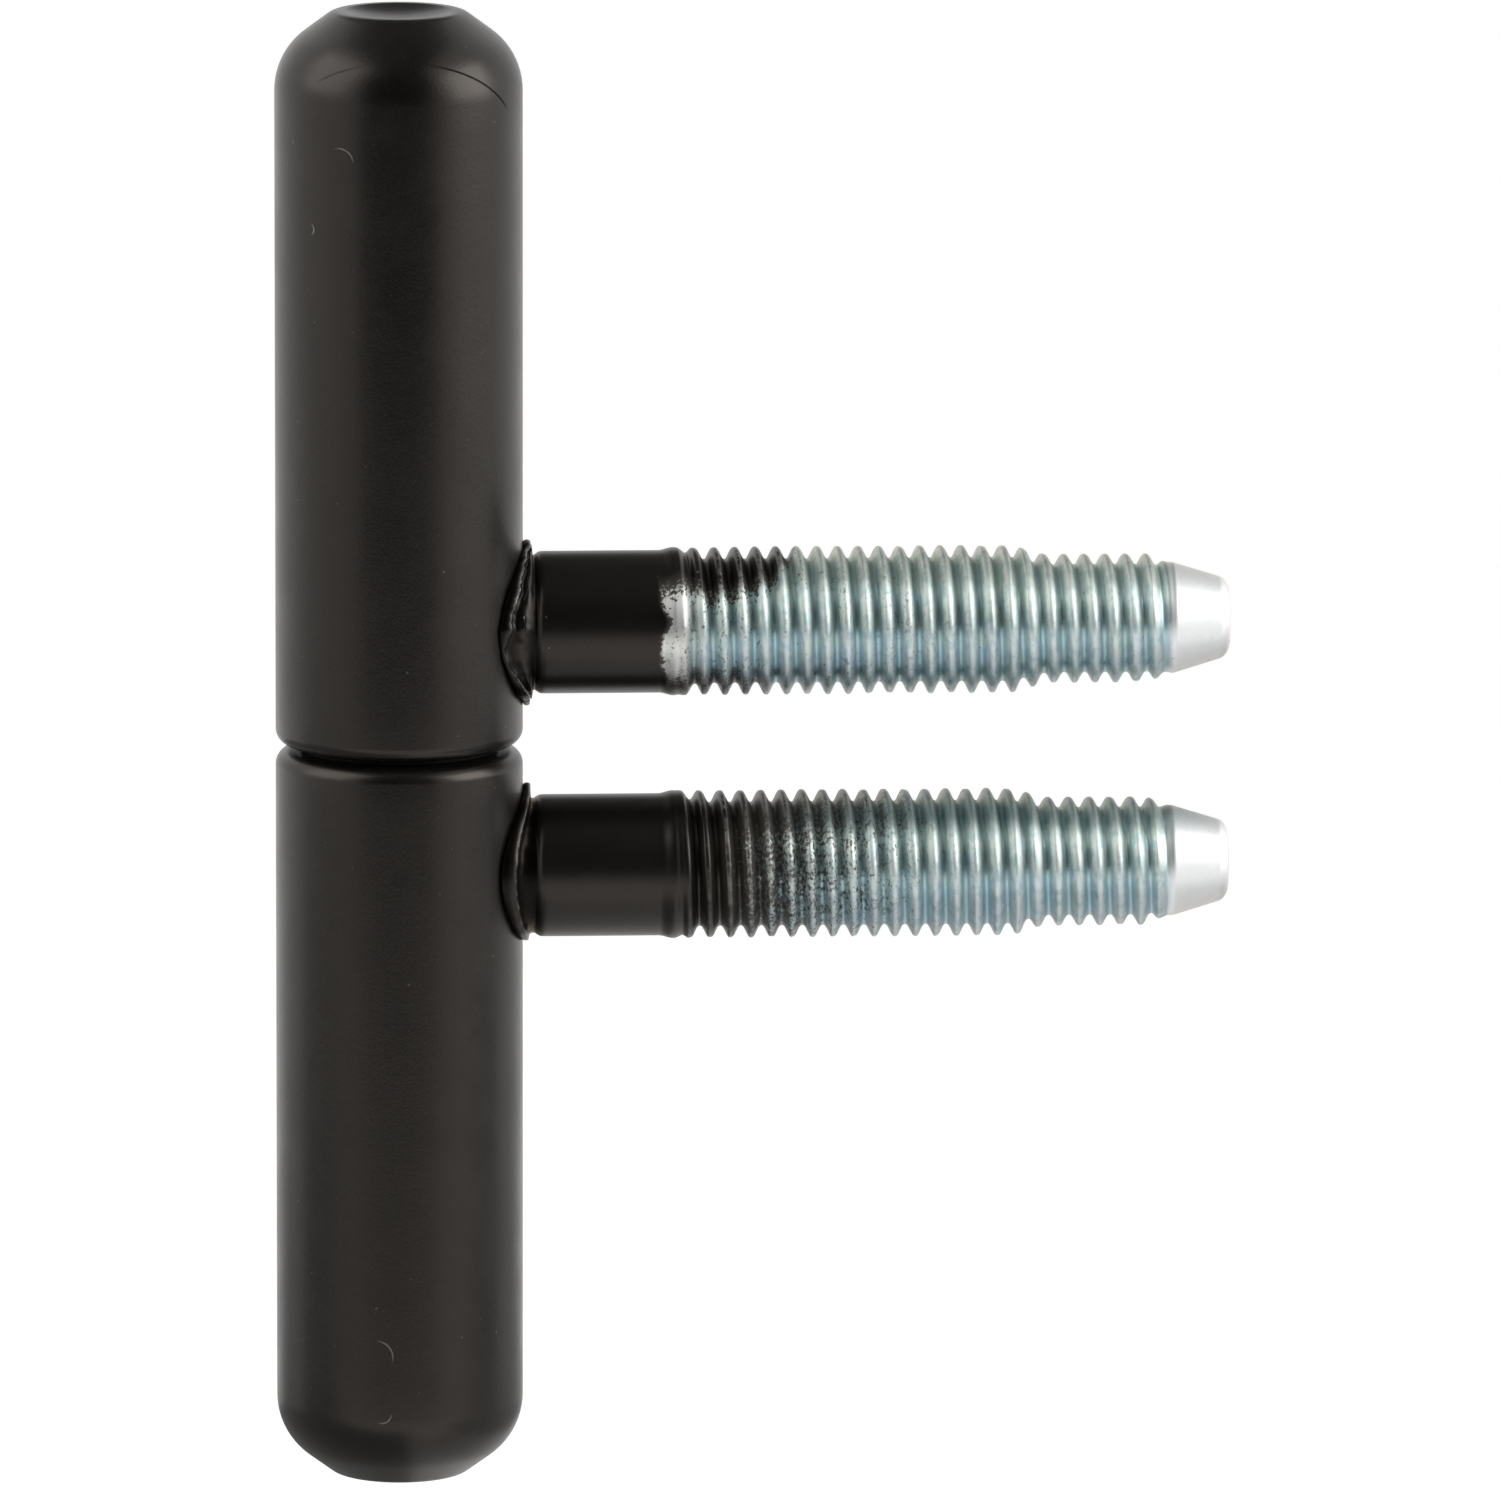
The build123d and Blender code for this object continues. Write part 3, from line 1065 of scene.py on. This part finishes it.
# Studio, in metres: white all round, a soft box at each side, and cards that shape the reflections; the
# two low cards are a painted shadow under the hinge
white = (1, 1, 1, 1)
world_light = 0.6
world_seen = 1.0
lamp_target = (0.0, 0.0, joint_z * MM)
floor_z = -0.14
floor_reach = 6
floor_shade = 0.8
floor_glow = 0.6
front_card_y = -0.6
top_card_z = 0.70
low_card_front = -0.10
low_card_rear = 0.25
low_card_z = -0.10
side_card_x = 0.45
side_card_gap = 0.001


def shown_rays(tree):
    """1 for the rays that show the background itself, straight or in metal and glass."""
    path = add_node(tree, "ShaderNodeLightPath").outputs
    seen = calc(tree, "MAXIMUM", path["Is Camera Ray"], path["Is Glossy Ray"])
    return calc(tree, "MAXIMUM", seen, path["Is Transmission Ray"])


def make_world():
    """White where it is seen, and softer where it lights the part."""
    world = bpy.data.worlds.new("studio")
    bpy.context.scene.world = world
    world.use_nodes = True
    tree = world.node_tree
    background = tree.nodes["Background"]
    strength = ramp(tree, shown_rays(tree), 0.0, 1.0, world_light, world_seen)
    tree.links.new(strength, background.inputs["Strength"])
    background.inputs["Color"].default_value = white


def add_soft_box(name, place, size, watts):
    """Square area lamp that faces the middle of the hinge."""
    data = bpy.data.lights.new(name, "AREA")
    data.shape = "SQUARE"
    data.size = size
    data.energy = watts
    lamp = bpy.data.objects.new(name, data)
    lamp.location = place
    lamp.rotation_mode = "QUATERNION"
    lamp.rotation_quaternion = (Vector(lamp_target) - Vector(place)).to_track_quat("-Z", "Y")
    bpy.context.scene.collection.objects.link(lamp)


def level_corners(left, right, front, rear, z):
    """Corners of a sheet that lies level."""
    return [(left, front, z), (right, front, z), (right, rear, z), (left, rear, z)]


def facing_corners(left, right, low, high, y):
    """Corners of an upright sheet across the view."""
    return [(left, y, low), (right, y, low), (right, y, high), (left, y, high)]


def side_corners(front, rear, low, high, x):
    """Corners of an upright sheet along the view."""
    return [(x, front, low), (x, rear, low), (x, rear, high), (x, front, high)]


def add_sheet(name, corners, shade, glow):
    """Flat matte sheet of the stage. glow is what it adds where the background is seen in it."""
    mesh = bpy.data.meshes.new(name)
    mesh.from_pydata(corners, [], [(0, 1, 2, 3)])
    sheet = bpy.data.objects.new(name, mesh)
    bpy.context.scene.collection.objects.link(sheet)
    material = bpy.data.materials.new(name)
    material.use_nodes = True
    tree = material.node_tree
    tree.nodes.remove(tree.nodes["Principled BSDF"])
    diffuse = add_node(tree, "ShaderNodeBsdfDiffuse", {"Color": (shade, shade, shade, 1)})
    strength = calc(tree, "MULTIPLY", shown_rays(tree), glow)
    light = add_node(tree, "ShaderNodeEmission", {"Color": white, "Strength": strength})
    both = add_node(tree, "ShaderNodeAddShader", {0: diffuse.outputs[0], 1: light.outputs[0]})
    tree.links.new(both.outputs[0], tree.nodes["Material Output"].inputs["Surface"])
    mesh.materials.append(material)
    return sheet


def add_card(name, corners, shade):
    """Card that shows only in the part's reflections, never straight to the camera."""
    card = add_sheet(name, corners, shade, 0.0)
    card.visible_camera = False


make_world()
add_soft_box("left_box", (-0.50, -0.10, 0.33), size=0.50, watts=1.4)
add_soft_box("right_box", (0.48, -0.16, 0.22), size=0.42, watts=2.2)
floor_corners = level_corners(-floor_reach, floor_reach, -floor_reach, floor_reach, floor_z)
add_sheet("floor", floor_corners, floor_shade, floor_glow)
add_card("front_card", facing_corners(-0.50, 0.42, -0.12, top_card_z, front_card_y), 0.02)
add_card("top_card", level_corners(-0.32, 0.32, front_card_y, 1.50, top_card_z), 0.25)
# Painted shadow: the low cards darken what the part reflects below it, in place of its own shadow beneath
# it
add_card("low_left_shadow_card", level_corners(-0.30, -0.010, low_card_front, low_card_rear, low_card_z), 0.4)
add_card("low_right_shadow_card", level_corners(0.07, 0.30, low_card_front, low_card_rear, low_card_z), 0.6)
for name, x in (("left_side_card", -side_card_x), ("right_side_card", side_card_x)):
    add_card(name, side_corners(-0.58, 0.10, floor_z + side_card_gap, -0.088, x), 0.5)

bpy.context.scene.view_settings.view_transform = "Standard"
